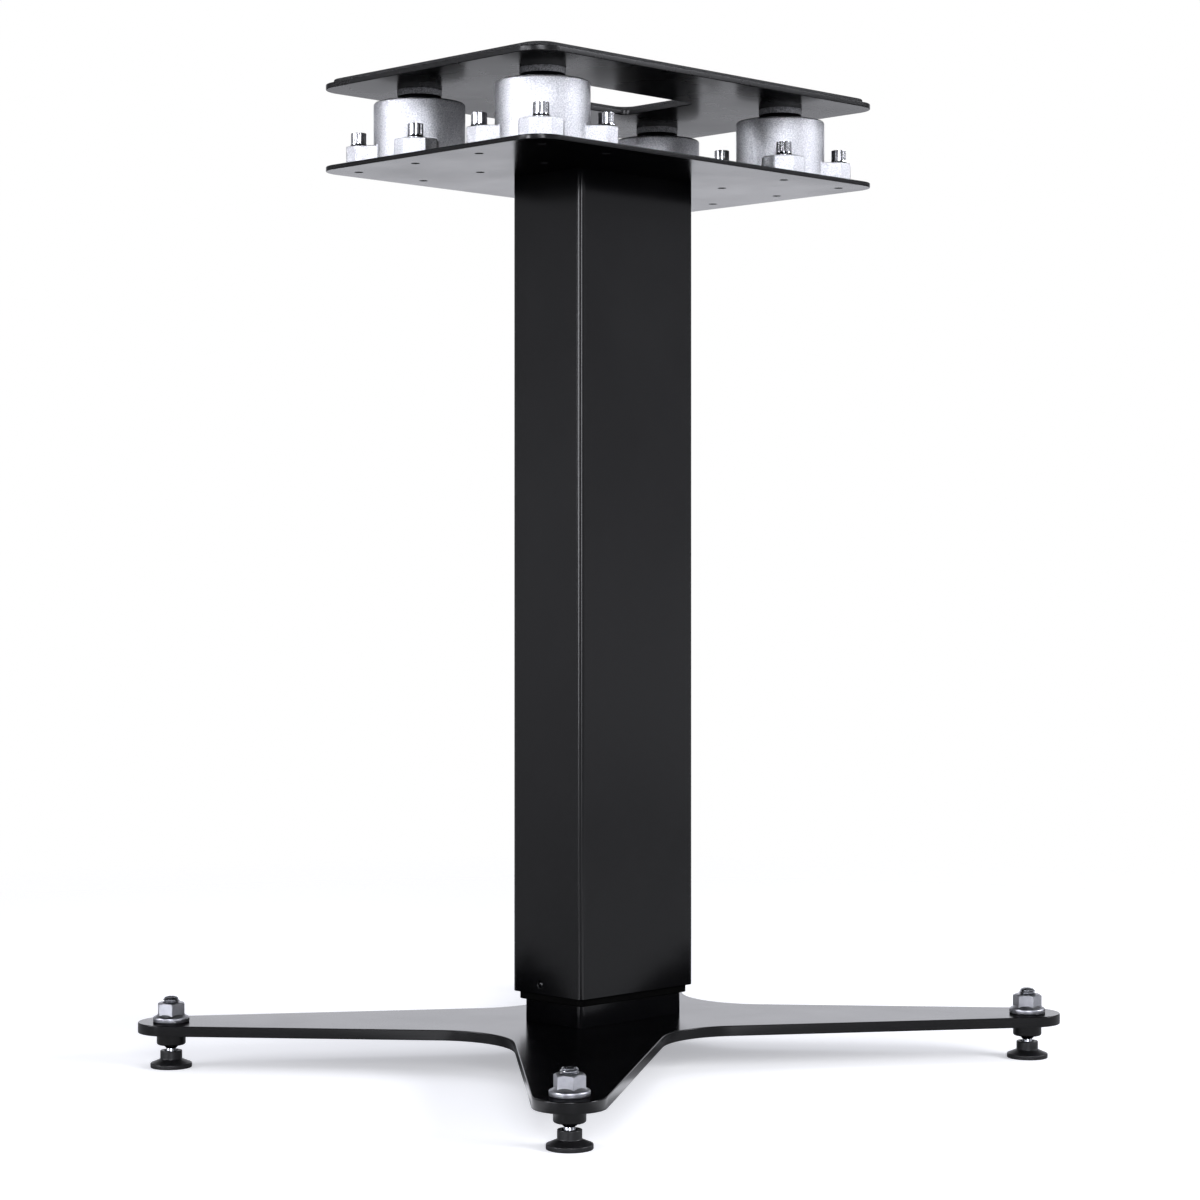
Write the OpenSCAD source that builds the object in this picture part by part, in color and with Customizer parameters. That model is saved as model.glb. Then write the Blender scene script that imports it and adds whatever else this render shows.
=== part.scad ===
// Speaker stand. An X-shaped base plate on four levelling feet carries a box
// column in three nested layers. On the column lies the isolator plate, and its
// four spring isolators carry the platform, which floats on them.
// The origin is on the floor under the column's axis. +Z is up, -Y is the front
// and +X is the right.

/* [Base] */
// Half the distance between the left and right feet
foot_x = 202; // [150:1:260]
// Half the distance between the front and rear feet
foot_y = 231; // [190:1:300]
// Thickness of the base plate
base_t = 7.4; // [5:0.1:12]
// Radius of the round tip of each arm
arm_tip_r = 23.4; // [18:0.1:30]
// Radius of the hollows between the arms
hollow_r = 60; // [40:1:80]
// Distance from the centre to the front and rear hollows
core_y = 109; // [90:1:125]
// Distance from the centre to the side hollows
core_x = 81; // [65:1:95]

/* [Column] */
// Height of the column between the base plate and the isolator plate
column_h = 598.3; // [300:0.1:1000]
// Width of the inner tube, left to right
tube_w = 58; // [50:1:80]
// Length of the inner tube, front to back
tube_l = 102; // [80:1:120]
// Wall of the inner tube
tube_wall = 3; // [2:0.5:5]
// Thickness of the damping layer round the tube
damping_t = 3; // [2:0.5:5]
// Wall of the outer sleeve
sleeve_wall = 3; // [2:0.5:5]
// Radius of the column's vertical corners
column_corner_r = 4.2; // [2:0.1:6]
// Bare length of the tube between the base plate and the damping layer
tube_bare_h = 15.8; // [8:0.1:40]
// Bare length of the damping layer below the sleeve
damping_bare_h = 5.3; // [2:0.1:20]

/* [Top plates] */
// Width of the two top plates, left to right
plate_w = 228.5; // [215:0.5:300]
// Length of the two top plates, front to back
plate_l = 345.3; // [330:0.1:450]
// Thickness of the isolator plate
isolator_plate_t = 3.3; // [2:0.1:6]
// Thickness of the platform plate
platform_plate_t = 3.6; // [3:0.1:6]
// Radius of the plates' corners
plate_corner_r = 20; // [10:0.5:30]
// Width of the opening in the platform, left to right
opening_w = 71; // [50:0.5:80]
// Length of the opening in the platform, front to back
opening_l = 115; // [80:0.5:160]
// Corner radius of the opening
opening_r = 5; // [2:0.5:15]
// Thickness of the pad on the platform
pad_t = 3.5; // [2:0.5:8]
// Distance from the plate's edges to the pad
pad_inset = 5.6; // [2:0.1:12]

/* [Isolators] */
// Share of the plates' width between the middle and an isolator
isolator_x_share = 0.2731; // [0.27:0.0001:0.31]
// Share of the plates' length between the middle and an isolator
isolator_y_share = 0.3475; // [0.32:0.0001:0.36]
// Outer diameter of an isolator housing
housing_d = 64.2; // [62:0.1:68]
// Height of an isolator housing
housing_h = 44.4; // [40:0.1:60]
// Height of the lugs that the isolator screws hold
lug_h = 13.7; // [8:0.1:18]
// Width of a lug
lug_w = 29.7; // [24:0.1:32]
// Distance between the screws of one isolator, along X and along Y
lug_pitch = 60.2; // [58:0.1:62]
// Diameter of the black neck between housing and platform
neck_d = 30.6; // [24:0.1:36]
// Height of the neck that shows above the housing at rest
neck_show_h = 5.1; // [4:0.1:12]
// Diameter of the grey cap on the neck
cap_d = 31.3; // [24:0.1:40]
// Height of the grey cap
cap_h = 4.4; // [3:0.1:10]
// Diameter of the spring wire
spring_wire_d = 3; // [2:0.1:3.5]
// Diameter of the spring at the middle of its wire
spring_mean_d = 41; // [38:0.5:44]
// Number of turns of each spring
spring_turns = 6.5; // [5:0.5:7]

/* [Feet] */
// Diameter of the levelling studs
stud_d = 12; // [10:0.5:14]
// Diameter of a foot pad
foot_pad_d = 29.2; // [24:0.1:50]
// Height of the socket above the foot pad's cone
socket_h = 6; // [5:0.1:9]
// Diameter of the bushing under the base plate
bushing_d = 20.4; // [18:0.1:26]
// Height of the bushing under the base plate
bushing_h = 9; // [5:0.1:14]
// Distance across the flats of the lock nut
nut_flats = 18; // [17:0.5:22]
// Height of the lock nut with its flange
nut_h = 13.35; // [11:0.05:16]
// Diameter of the lock nut's flange
nut_flange_d = 25.6; // [24:0.1:30]
// Length of the stud above the lock nut
stud_over_nut_h = 4.1; // [2:0.1:30]

/* [Hidden] */
// Smoothness of the round surfaces
$fn = 64;
// Running clearance, on the radius, of a shaft in its bore
run_gap = 0.06;
// Clearance between parts that are fitted once and stay
seat_gap = 0.05;
// Clearance between soft or wound parts and what they lie on
soft_gap = 0.3;
// Overrun of every cut past the face it leaves
over = 1;
// How far the base plate's straight edges cut into its arcs
edge_bite = 0.02;

// Foot pad, its ball socket and the stud's ball
pad_rim_h = 3.4;
pad_rim_round = 0.8;
pad_cone_h = 2.6;
socket_d = 15.4;
ball_r = 5.5;
ball_gap = 0.1;
ball_floor = 2;
neck_r = 4;
neck_swing = 0.9;
stud_neck_h = 1.6;
stud_taper_h = 2.4;
stud_chamfer = 2;
bushing_spigot_d = 16;
bushing_round = 1.6;

// Lock nut
nut_flange_h = 3.8;
nut_flange_round = 1.4;
nut_skirt_h = 1.8;
nut_skirt_inset = 1.6;
// How far the skirt's narrow end lies inside the hexagon's flats
nut_skirt_bite = 0.1;
nut_chamfer = 1;
nut_chamfer_in = 0.5;
// Turn of each lock nut about its stud, from the photograph
nut_turns = [27.3, 29.5, 31.3, 24];

// Screws through the base plate and the isolator plate into the column's blocks
block_h = 12;
block_screw_d = 8;
block_screw_x = 15;
block_screw_y = 34;
base_screw_head_d = 15;
base_screw_head_h = 4.2;
head_screw_head_d = 14;
head_screw_head_h = 4.4;
head_screw_round = 2.2;
block_screw_tip = 1;

// Pin in the sleeve's front face
pin_d = 4.7;
pin_x = -6;
pin_h = 6.9;

// Isolator housing, its cover and its screws
housing_floor = 4;
housing_edge_r = 1.8;
housing_cavity_d = 53;
cover_d = 57;
cover_t = 2;
cover_gap = 0.5;
lug_nose = 8.2;
lug_chamfer = 7.5;
lug_root_share = 0.86;
screw_d = 5.5;
screw_hole_gap = 0.05;
screw_lug_gap = 0.4;
screw_tip = 1;
screw_flange_d = 13;
screw_flange_h = 0.8;
screw_flare_d = 12.4;
screw_flare_h = 2;
screw_head_d = 10.8;
screw_head_h = 10.2;
screw_flutes = 8;
screw_flute_r = 0.8;
screw_flute_out = 0.3;

// Plunger, its collar under the cover and its spring guide
plunger_collar_d = 47;
plunger_collar_h = 4;
guide_d = 36;
guide_h = 8;
platform_screw_d = 5;
platform_screw_head_d = 10;
platform_screw_head_h = 2.5;
platform_screw_depth = 10;

// Spring winding
spring_sides = 6;
spring_rings = 12;
spring_end_gap = 0.7;

// Levels from the floor up
neck_z = pad_rim_h + pad_cone_h + socket_h;
taper_z = neck_z + stud_neck_h;
bushing_z = taper_z + stud_taper_h;
base_z = bushing_z + bushing_h;
base_top = base_z + base_t;
damping_z = base_top + tube_bare_h;
sleeve_z = damping_z + damping_bare_h;
column_top = base_top + column_h;
housing_z = column_top + isolator_plate_t;
housing_top = housing_z + housing_h;
cover_z = housing_top - cover_t;
cap_z = housing_top + neck_show_h;
platform_z = cap_z + cap_h;
pad_z = platform_z + platform_plate_t;

// Sizes that follow from the ones above
damping_w = tube_w + 2 * damping_t;
damping_l = tube_l + 2 * damping_t;
sleeve_w = damping_w + 2 * sleeve_wall;
sleeve_l = damping_l + 2 * sleeve_wall;
ball_z = ball_floor + ball_r + ball_gap;
stud_r = stud_d / 2;
stud_top = base_top + nut_h + stud_over_nut_h;
spring_bottom = housing_z + housing_floor;
plunger_collar_z = cover_z - plunger_collar_h;
spring_top = plunger_collar_z - soft_gap;
lug_reach = lug_pitch / sqrt(2);
isolator_x = plate_w * isolator_x_share;
isolator_y = plate_l * isolator_y_share;

// The four corners: name, side and end
CORNERS = [["front_left", -1, -1], ["front_right", 1, -1], ["rear_right", 1, 1], ["rear_left", -1, 1]];

NODES = concat(
    ["base_plate", "base_screws", "column_foot_block", "column_tube", "column_damping_layer",
     "column_sleeve", "sleeve_pin", "column_head_block", "column_head_screws", "isolator_plate",
     "platform_plate", "platform_pad", "platform_screws"],
    [for (part = ["isolator_housing", "isolator_screws", "isolator_cover", "isolator_spring",
                  "isolator_plunger", "isolator_cap", "foot_bushing", "foot_stud", "foot_pad",
                  "foot_lock_nut"], c = CORNERS) str(part, "_", c[0])]
);
node = "all";

// True where the node called name is wanted
function wanted(name) = node == "all" || node == name;

// A rectangle w by l with corners of radius r, centred
module round_rect(w, l, r) {
    square([w - 2 * r, l], center = true);
    square([w, l - 2 * r], center = true);
    for (x = [-1, 1], y = [-1, 1])
        translate([x * (w / 2 - r), y * (l / 2 - r)]) circle(r);
}

// A straight box column h tall with the same corners, inside and out
module box_layer(w, l, wall, h) {
    linear_extrude(h) difference() {
        round_rect(w, l, column_corner_r);
        round_rect(w - 2 * wall, l - 2 * wall, column_corner_r);
    }
}

// Places its children at the four block screws
module at_block_screws() {
    for (x = [-1, 1], y = [-1, 1]) translate([x * block_screw_x, y * block_screw_y]) children();
}

// Places its children at the four feet
module at_feet() {
    for (c = CORNERS) translate([c[1] * foot_x, c[2] * foot_y]) children();
}

// Places its children at the four isolators
module at_isolators() {
    for (c = CORNERS) translate([c[1] * isolator_x, c[2] * isolator_y]) children();
}

// Places its children at the screws of one isolator, turned to face outwards
module at_lugs() {
    for (turn = [45:90:315]) rotate(turn) translate([lug_reach, 0]) children();
}

// Points where the straight edge between arm tip a and hollow b meets the two circles, a
// hair inside each, so that edge and arc cross. side is 1 or -1 and picks the edge on that
// side of the arm.
function edge_points(a, b, side) =
    let (
        tip_r = arm_tip_r - edge_bite,
        side_r = hollow_r - edge_bite,
        swing = acos((tip_r + side_r) / norm(b - a)),
        turn = atan2(b[1] - a[1], b[0] - a[0]) + side * swing,
        out = [cos(turn), sin(turn)]
    ) [a + tip_r * out, b - side_r * out];

// One quarter of the star between its front or rear hollow and its side hollow
function arm_points(sx, sy) =
    let (
        tip = [foot_x, foot_y],
        end_edge = edge_points(tip, [0, core_y + hollow_r], -1),
        side_edge = edge_points(tip, [core_x + hollow_r, 0], 1),
        points = [side_edge[1], side_edge[0], tip, end_edge[0], end_edge[1]]
    ) [for (p = sx * sy > 0 ? points : [for (i = [4:-1:0]) points[i]]) [sx * p[0], sy * p[1]]];

// Outline of the base plate
module star() {
    difference() {
        union() {
            polygon(concat(arm_points(1, 1), arm_points(-1, 1), arm_points(-1, -1), arm_points(1, -1)));
            at_feet() circle(arm_tip_r);
        }
        for (y = [-1, 1]) translate([0, y * (core_y + hollow_r)]) circle(hollow_r, $fn = 128);
        for (x = [-1, 1]) translate([x * (core_x + hollow_r), 0]) circle(hollow_r, $fn = 128);
    }
}

module base_plate() {
    color("#141416") difference() {
        translate([0, 0, base_z]) linear_extrude(base_t) star();
        translate([0, 0, base_z - over]) {
            at_feet() cylinder(h = base_t + 2 * over, d = bushing_spigot_d);
            at_block_screws() cylinder(h = base_t + 2 * over, d = block_screw_d + 2 * run_gap);
        }
        translate([0, 0, base_z]) at_block_screws()
            countersink(base_screw_head_d, block_screw_d, base_screw_head_h);
    }
}

// Cone for a countersunk head whose wide end lies on z = 0, opening downwards
module countersink(head_d, shank_d, h) {
    cylinder(h = h, d1 = head_d, d2 = shank_d + 2 * run_gap);
    translate([0, 0, -over]) cylinder(h = over, d = head_d);
}

module base_screws() {
    length = base_t + block_h - block_screw_tip;
    color("#8c8e92") translate([0, 0, base_z]) at_block_screws() {
        cylinder(h = base_screw_head_h, d1 = base_screw_head_d - 2 * seat_gap, d2 = block_screw_d);
        cylinder(h = length, d = block_screw_d);
    }
}

// A block that fills the tube's end, with four screw holes right through
module column_block() {
    w = tube_w - 2 * tube_wall - 2 * seat_gap;
    l = tube_l - 2 * tube_wall - 2 * seat_gap;
    color("#77797d") difference() {
        linear_extrude(block_h) round_rect(w, l, column_corner_r);
        translate([0, 0, -over]) at_block_screws()
            cylinder(h = block_h + 2 * over, d = block_screw_d + 2 * run_gap);
    }
}

module column_foot_block() {
    translate([0, 0, base_top]) column_block();
}

module column_head_block() {
    translate([0, 0, column_top - block_h]) column_block();
}

module column_tube() {
    color("#1b1c1f") translate([0, 0, base_top]) box_layer(tube_w, tube_l, tube_wall, column_h);
}

module column_damping_layer() {
    color("#101011") translate([0, 0, damping_z])
        box_layer(damping_w, damping_l, damping_t - seat_gap, column_top - damping_z);
}

module column_sleeve() {
    color("#1b1c1f") difference() {
        translate([0, 0, sleeve_z])
            box_layer(sleeve_w, sleeve_l, sleeve_wall - seat_gap, column_top - sleeve_z);
        at_sleeve_pin() cylinder(h = sleeve_wall + 2 * over, d = pin_d + 2 * seat_gap);
    }
}

// Places its children on the sleeve's front face, their +Z running into the column
module at_sleeve_pin() {
    translate([pin_x, -sleeve_l / 2 - over, sleeve_z + pin_h]) rotate([-90, 0, 0]) children();
}

module sleeve_pin() {
    color("#2a2a2c") at_sleeve_pin() translate([0, 0, over]) cylinder(h = sleeve_wall - seat_gap, d = pin_d);
}

module column_head_screws() {
    length = isolator_plate_t + block_h - block_screw_tip;
    color("#8c8e92") translate([0, 0, housing_z]) at_block_screws() {
        round_head(head_screw_head_d, head_screw_head_h, head_screw_round);
        translate([0, 0, -length]) cylinder(h = length, d = block_screw_d);
    }
}

// A low round head with a rounded upper edge
module round_head(d, h, r) {
    rotate_extrude() {
        square([d / 2 - r, h]);
        square([d / 2, h - r]);
        translate([d / 2 - r, h - r]) intersection() {
            circle(r);
            square(r);
        }
    }
}

module isolator_plate() {
    color("#141416") difference() {
        translate([0, 0, column_top]) linear_extrude(isolator_plate_t)
            round_rect(plate_w, plate_l, plate_corner_r);
        translate([0, 0, column_top - over]) {
            at_block_screws() cylinder(h = isolator_plate_t + 2 * over, d = block_screw_d + 2 * run_gap);
            at_isolators() at_lugs()
                cylinder(h = isolator_plate_t + 2 * over, d = screw_d + 2 * screw_hole_gap, $fn = 32);
        }
    }
}

// Profile of the housing's wall: a cup with a rounded upper edge and a seat for the cover
module housing_profile() {
    r = housing_d / 2;
    difference() {
        union() {
            square([r, housing_h - housing_edge_r]);
            square([r - housing_edge_r, housing_h]);
            translate([r - housing_edge_r, housing_h - housing_edge_r]) intersection() {
                circle(housing_edge_r);
                square(housing_edge_r);
            }
        }
        translate([0, housing_floor]) square([housing_cavity_d / 2, housing_h]);
        translate([0, housing_h - cover_t]) square([cover_d / 2, cover_t + over]);
    }
}

// Outline of one lug, seen from above, with its screw at the origin
module lug_outline() {
    nose = lug_nose;
    root = -lug_reach + lug_root_share * housing_d / 2;
    side = lug_w / 2;
    polygon([[root, -side], [nose - lug_chamfer, -side], [nose, lug_chamfer - side],
             [nose, side - lug_chamfer], [nose - lug_chamfer, side], [root, side]]);
}

module isolator_housing() {
    color("#c9cbcf") translate([0, 0, housing_z]) difference() {
        union() {
            rotate_extrude($fn = 96) housing_profile();
            difference() {
                at_lugs() linear_extrude(lug_h) lug_outline();
                translate([0, 0, -over])
                    cylinder(h = lug_h + 2 * over, d = (housing_d + housing_cavity_d) / 2, $fn = 96);
            }
        }
        translate([0, 0, -over]) at_lugs()
            cylinder(h = lug_h + 2 * over, d = screw_d + 2 * screw_lug_gap, $fn = 32);
    }
}

// Screw with a flange that flares up into a tall fluted head
module isolator_screw() {
    shank = lug_h + isolator_plate_t - screw_tip;
    translate([0, 0, -shank]) cylinder(h = shank, d = screw_d, $fn = 32);
    cylinder(h = screw_flange_h, d = screw_flange_d, $fn = 32);
    difference() {
        union() {
            cylinder(h = screw_head_h, d = screw_head_d, $fn = 32);
            translate([0, 0, screw_flange_h])
                cylinder(h = screw_flare_h, d1 = screw_flare_d, d2 = screw_head_d, $fn = 32);
        }
        for (i = [1:screw_flutes]) rotate(i * 360 / screw_flutes)
            translate([screw_head_d / 2 + screw_flute_out, 0, screw_flange_h])
                cylinder(h = screw_head_h, r = screw_flute_r, $fn = 16);
    }
}

module isolator_screws() {
    color("#d8d9db") translate([0, 0, housing_z + lug_h]) at_lugs() isolator_screw();
}

module isolator_cover() {
    color("#0e0e10") translate([0, 0, cover_z]) difference() {
        cylinder(h = cover_t, d = cover_d - 2 * seat_gap);
        translate([0, 0, -over]) cylinder(h = cover_t + 2 * over, d = neck_d + 2 * cover_gap);
    }
}

// Height of the spring's wire centre after t turns: a closed turn at each end, open ones between
function spring_rise(t) =
    let (
        closed = spring_wire_d + spring_end_gap,
        open_h = spring_top - spring_bottom - spring_wire_d - 2 * soft_gap - 2 * closed,
        pitch = open_h / (spring_turns - 2)
    ) t < 1 ? t * closed
    : t < spring_turns - 1 ? closed + (t - 1) * pitch
    : closed + open_h + (t - spring_turns + 1) * closed;

// Centre of the wire after t turns
function spring_centre(t) =
    [spring_mean_d / 2 * cos(360 * t), spring_mean_d / 2 * sin(360 * t),
     spring_bottom + soft_gap + spring_wire_d / 2 + spring_rise(t)];

spring_steps = round(spring_turns * spring_rings);
spring_path = [for (i = [0:spring_steps]) spring_centre(i / spring_rings)];

// Least gap between turns of the wire, measured on the path's own points
spring_gap = min([for (i = [0:spring_steps], j = [0:spring_steps])
    if (j - i > spring_rings / 2) norm(spring_path[j] - spring_path[i])]) - spring_wire_d;
echo(spring_least_gap = spring_gap);

// Ring of points round the wire after step i, square to the wire
function spring_ring(i) =
    let (
        turn = 360 * i / spring_rings,
        before = spring_path[max(i - 1, 0)],
        after = spring_path[min(i + 1, spring_steps)],
        along = (after - before) / norm(after - before),
        out = [cos(turn), sin(turn), 0],
        up = cross(out, along)
    ) [for (k = [0:spring_sides - 1])
        let (a = 360 * k / spring_sides)
        spring_path[i] + spring_wire_d / 2 * (cos(a) * out + sin(a) * up)];

module isolator_spring() {
    n = spring_sides;
    points = [for (i = [0:spring_steps]) each spring_ring(i)];
    walls = [for (i = [0:spring_steps - 1], k = [0:n - 1])
        let (a = i * n + k, b = i * n + (k + 1) % n)
        each [[a, b, b + n], [a, b + n, a + n]]];
    first = [for (k = [1:n - 2]) [0, k + 1, k]];
    last = [for (k = [1:n - 2]) spring_steps * n * [1, 1, 1] + [0, k, k + 1]];
    color("#6e7074") polyhedron(points = points, faces = concat(walls, first, last));
}

module isolator_plunger() {
    color("#0c0c0d") difference() {
        union() {
            translate([0, 0, plunger_collar_z]) cylinder(h = plunger_collar_h, d = plunger_collar_d);
            translate([0, 0, plunger_collar_z - guide_h]) cylinder(h = guide_h, d = guide_d);
            translate([0, 0, plunger_collar_z]) cylinder(h = cap_z - plunger_collar_z, d = neck_d);
        }
        translate([0, 0, cap_z - platform_screw_depth - over])
            cylinder(h = platform_screw_depth + 2 * over, d = platform_screw_d + 2 * run_gap, $fn = 32);
    }
}

module isolator_cap() {
    color("#4a4b4e") translate([0, 0, cap_z]) difference() {
        cylinder(h = cap_h, d = cap_d);
        translate([0, 0, -over]) cylinder(h = cap_h + 2 * over, d = platform_screw_d + 2 * run_gap, $fn = 32);
    }
}

module platform_plate() {
    color("#141416") difference() {
        translate([0, 0, platform_z]) linear_extrude(platform_plate_t) difference() {
            round_rect(plate_w, plate_l, plate_corner_r);
            round_rect(opening_w, opening_l, opening_r);
        }
        at_isolators() {
            translate([0, 0, platform_z - over])
                cylinder(h = platform_plate_t + 2 * over, d = platform_screw_d + 2 * run_gap, $fn = 32);
            translate([0, 0, pad_z]) mirror([0, 0, 1])
                countersink(platform_screw_head_d, platform_screw_d, platform_screw_head_h);
        }
    }
}

module platform_screws() {
    length = platform_plate_t + cap_h + platform_screw_depth;
    color("#8c8e92") translate([0, 0, pad_z]) mirror([0, 0, 1]) at_isolators() {
        cylinder(h = platform_screw_head_h, d1 = platform_screw_head_d - 2 * seat_gap,
                 d2 = platform_screw_d, $fn = 32);
        cylinder(h = length, d = platform_screw_d, $fn = 32);
    }
}

module platform_pad() {
    color("#1a1a1c") translate([0, 0, pad_z]) linear_extrude(pad_t) difference() {
        round_rect(plate_w - 2 * pad_inset, plate_l - 2 * pad_inset, plate_corner_r - pad_inset);
        round_rect(opening_w + 2 * pad_inset, opening_l + 2 * pad_inset, opening_r + pad_inset);
    }
}

// Threaded bushing: a round collar under the base plate and a spigot inside it
module foot_bushing() {
    color("#1c1c1e") difference() {
        union() {
            translate([0, 0, base_z]) mirror([0, 0, 1]) round_head(bushing_d, bushing_h, bushing_round);
            translate([0, 0, base_z]) cylinder(h = base_t, d = bushing_spigot_d - 2 * seat_gap);
        }
        translate([0, 0, bushing_z - over]) cylinder(h = bushing_h + base_t + 2 * over, r = stud_r + run_gap);
    }
}

module foot_stud() {
    color("#7c7f84") {
        translate([0, 0, ball_z]) sphere(ball_r);
        translate([0, 0, ball_z]) cylinder(h = taper_z - ball_z, r = neck_r);
        translate([0, 0, taper_z]) cylinder(h = stud_taper_h, r1 = neck_r, r2 = stud_r);
        translate([0, 0, bushing_z]) cylinder(h = stud_top - stud_chamfer - bushing_z, r = stud_r);
        translate([0, 0, stud_top - stud_chamfer])
            cylinder(h = stud_chamfer, r1 = stud_r, r2 = stud_r - stud_chamfer);
    }
}

// Round foot with a cone up to its socket
module foot_pad() {
    rim_r = foot_pad_d / 2;
    hole_r = neck_r + neck_swing;
    color("#2a2a2d") difference() {
        union() {
            round_head(foot_pad_d, pad_rim_h, pad_rim_round);
            translate([0, 0, pad_rim_h]) cylinder(h = pad_cone_h, r1 = rim_r - pad_rim_round, d2 = socket_d);
            translate([0, 0, pad_rim_h + pad_cone_h]) cylinder(h = socket_h, d = socket_d);
        }
        translate([0, 0, ball_z]) sphere(ball_r + ball_gap);
        translate([0, 0, ball_z]) cylinder(h = neck_z - ball_z + over, r = hole_r);
    }
}

// Flange nut: a flange with a rounded rim, a skirt that rises to the hexagon, and a hexagon
// with bevelled corners
module foot_lock_nut(turn) {
    flange_r = nut_flange_d / 2;
    corner_r = nut_flats / sqrt(3);
    color("#8d9096") translate([0, 0, base_top]) rotate(turn) difference() {
        union() {
            round_head(nut_flange_d, nut_flange_h, nut_flange_round);
            translate([0, 0, nut_flange_h])
                cylinder(h = nut_skirt_h, r1 = flange_r - nut_skirt_inset,
                         r2 = nut_flats / 2 - nut_skirt_bite);
            intersection() {
                cylinder(h = nut_h, r = corner_r, $fn = 6);
                union() {
                    cylinder(h = nut_h - nut_chamfer, r = corner_r + over);
                    translate([0, 0, nut_h - nut_chamfer])
                        cylinder(h = nut_chamfer, r1 = corner_r, r2 = nut_flats / 2 - nut_chamfer_in);
                }
            }
        }
        translate([0, 0, -over]) cylinder(h = nut_h + 2 * over, r = stud_r + run_gap);
    }
}

if (wanted("base_plate")) base_plate();
if (wanted("base_screws")) base_screws();
if (wanted("column_foot_block")) column_foot_block();
if (wanted("column_tube")) column_tube();
if (wanted("column_damping_layer")) column_damping_layer();
if (wanted("column_sleeve")) column_sleeve();
if (wanted("sleeve_pin")) sleeve_pin();
if (wanted("column_head_block")) column_head_block();
if (wanted("column_head_screws")) column_head_screws();
if (wanted("isolator_plate")) isolator_plate();
if (wanted("platform_plate")) platform_plate();
if (wanted("platform_pad")) platform_pad();
if (wanted("platform_screws")) platform_screws();
for (i = [0:3]) {
    name = CORNERS[i][0];
    side = CORNERS[i][1];
    end = CORNERS[i][2];
    translate([side * isolator_x, end * isolator_y]) {
        if (wanted(str("isolator_housing_", name))) isolator_housing();
        if (wanted(str("isolator_screws_", name))) isolator_screws();
        if (wanted(str("isolator_cover_", name))) isolator_cover();
        if (wanted(str("isolator_spring_", name))) isolator_spring();
        if (wanted(str("isolator_plunger_", name))) isolator_plunger();
        if (wanted(str("isolator_cap_", name))) isolator_cap();
    }
    translate([side * foot_x, end * foot_y]) {
        if (wanted(str("foot_bushing_", name))) foot_bushing();
        if (wanted(str("foot_stud_", name))) foot_stud();
        if (wanted(str("foot_pad_", name))) foot_pad();
        if (wanted(str("foot_lock_nut_", name))) foot_lock_nut(nut_turns[i]);
    }
}
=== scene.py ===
# %% [markdown]
# # Dressing a speaker stand
# The stand is a black steel one: an X-shaped base on levelling feet, a box column in three
# layers, and a platform that floats on four cast isolators. The exact solids come in as a fixed
# frame. Everything here is the part of the work that the eye sees: eased edges, threads, cast
# grain, paint, rubber and the light of a studio. Pieces and camera are written in millimetres
# and turned to metres, because the frame is in metres. Floor and lamps are written in metres.

# %% Load the frame
import math
import bpy
from mathutils import Matrix, Vector


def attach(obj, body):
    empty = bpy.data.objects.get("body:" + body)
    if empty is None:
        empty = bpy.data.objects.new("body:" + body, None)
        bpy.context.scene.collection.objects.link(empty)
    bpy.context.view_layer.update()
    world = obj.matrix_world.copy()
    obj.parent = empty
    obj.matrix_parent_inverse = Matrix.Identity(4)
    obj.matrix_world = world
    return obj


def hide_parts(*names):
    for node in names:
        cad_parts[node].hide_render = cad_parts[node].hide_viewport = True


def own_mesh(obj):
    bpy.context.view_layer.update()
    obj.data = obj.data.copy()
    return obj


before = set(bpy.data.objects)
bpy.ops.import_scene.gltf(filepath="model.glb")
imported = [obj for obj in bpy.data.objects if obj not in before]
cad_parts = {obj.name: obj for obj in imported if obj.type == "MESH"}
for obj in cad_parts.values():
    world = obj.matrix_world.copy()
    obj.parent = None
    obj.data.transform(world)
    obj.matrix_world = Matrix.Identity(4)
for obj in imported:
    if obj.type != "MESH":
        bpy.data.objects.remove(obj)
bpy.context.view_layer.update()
MM = 0.001

# %% [markdown]
# ## Camera
# The photograph was taken with a long lens, level, from the height of the column's middle, and
# from a corner. The lens and the place were fitted to the corners of the two top plates, the
# column and the feet. A camera can be aimed with a Track To constraint, but plain numbers keep
# the verticals exactly vertical, which is what a level camera gives.

# %% Place the camera
CAMERA_PLACE = (1428.36, -1428.10, 347.84)
CAMERA_HEADING = 45.076
LENS = 84.69
SENSOR = 36
SHIFT = -0.0202
camera_data = bpy.data.cameras.new("photo_camera")
camera = bpy.data.objects.new("photo_camera", camera_data)
bpy.context.scene.collection.objects.link(camera)
camera.location = Vector(CAMERA_PLACE) * MM
camera.rotation_euler = (math.radians(90), 0, math.radians(CAMERA_HEADING))
camera_data.lens = LENS
camera_data.sensor_width = SENSOR
camera_data.shift_y = SHIFT
bpy.context.scene.camera = camera
bpy.context.scene.view_settings.view_transform = "Standard"
print("camera", round(math.dist(camera.location, (0, 0, camera.location.z)), 3), "m from the column")

# %% [markdown]
# ## Materials: helpers
# Every finish is a small node tree on the Principled shader. One function turns a screen colour
# into the linear values that Blender works with, and one adds any node with its settings and
# links. A node tree could also be built by hand in the shader editor, but code shows each number.


# %% Turn a screen colour to linear
def linear(hex_code):
    """Red, green, blue and alpha for a colour such as 'C0C4CC'."""
    channels = [int(hex_code[i:i + 2], 16) / 255 for i in (0, 2, 4)]
    return [c / 12.92 if c <= 0.04045 else ((c + 0.055) / 1.055) ** 2.4 for c in channels] + [1]


print("white is", linear("FFFFFF"))


# %% Add a node, start a finish
NOISE_LOW = 0.3
NOISE_HIGH = 0.7


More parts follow.
